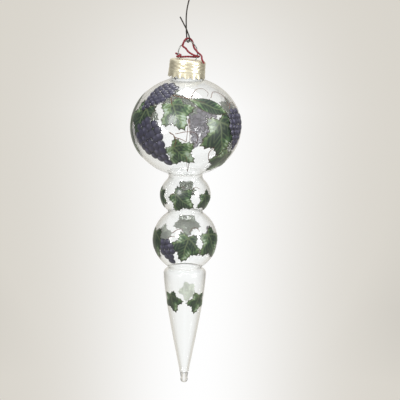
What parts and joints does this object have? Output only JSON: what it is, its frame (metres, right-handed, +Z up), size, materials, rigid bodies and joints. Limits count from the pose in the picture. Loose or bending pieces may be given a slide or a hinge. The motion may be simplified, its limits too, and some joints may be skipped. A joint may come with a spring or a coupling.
{
  "type": "icicle hanging ornament",
  "caption": "Clear blown-glass finial: oval globe, waisted balls and a long icicle, hung by a capped wire bail and a wire hook, with grape and leaf paper cut-outs.",
  "frame": {"origin": "inside top of the hook's crook, where the ornament hangs", "axes": "+Z up along the glass's axis, -Y towards the front, +X to the right seen from the front"},
  "size_m": [0.1052, 0.1042, 0.3896],
  "materials": {
    "clear_glass": "clear, blown, fire-polished",
    "cap_brass": "bright gold-toned stamped sheet",
    "hook_wire": "dull dark grey wire",
    "bail_wire": "drawn spring wire",
    "red_cord": "twisted soft cord",
    "grape_paper": "printed paper under varnish",
    "leaf_paper": "printed paper under varnish"
  },
  "bodies": {
    "hook": {"ornament_hook": "hook_wire"},
    "hanger": {"bail": "bail_wire", "cap": "cap_brass", "cord_left_wrap": "red_cord", "cord_strand": "red_cord", "cord_right_wrap": "red_cord", "cord_loop": "red_cord"},
    "glass": {"glass_globe": "clear_glass", "glass_small_ball": "clear_glass", "glass_middle_ball": "clear_glass", "glass_icicle": "clear_glass", "globe_grapes_upper": "grape_paper", "globe_grapes_lower": "grape_paper", "globe_grapes_right": "grape_paper", "globe_grapes_back": "grape_paper", "globe_grapes_back_left": "grape_paper", "globe_leaf_left_high": "leaf_paper", "globe_leaf_left": "leaf_paper", "globe_leaf_left_low": "leaf_paper", "globe_leaf_light": "leaf_paper", "globe_leaf_centre": "leaf_paper", "globe_leaf_right_high": "leaf_paper", "globe_leaf_right": "leaf_paper", "globe_leaf_right_low": "leaf_paper", "globe_leaf_back": "leaf_paper", "globe_leaf_back_right": "leaf_paper", "globe_leaf_back_low": "leaf_paper", "globe_leaf_back_left": "leaf_paper", "small_ball_leaf_left": "leaf_paper", "small_ball_leaf_front": "leaf_paper", "small_ball_leaf_right": "leaf_paper", "small_ball_leaf_back": "leaf_paper", "middle_ball_leaf_left": "leaf_paper", "middle_ball_leaf_front": "leaf_paper", "middle_ball_leaf_right": "leaf_paper", "middle_ball_leaf_back": "leaf_paper", "middle_ball_leaf_back_left": "leaf_paper", "middle_ball_grapes_left": "grape_paper", "middle_ball_grapes_back": "grape_paper", "icicle_leaf_left": "leaf_paper", "icicle_leaf_right": "leaf_paper", "icicle_leaf_back": "leaf_paper"}
  },
  "joints": [
    {"name": "swing", "type": "hinge", "parent": "hook", "child": "hanger", "pos_m": [0.0013, 0, -0.0689], "axis": [0, 1, 0], "range_deg": [-50, 50]},
    {"name": "turn", "type": "hinge", "parent": "hanger", "child": "glass", "pos_m": [0, 0, -0.1004], "axis": [0, 0, 1], "continuous": true}
  ]
}
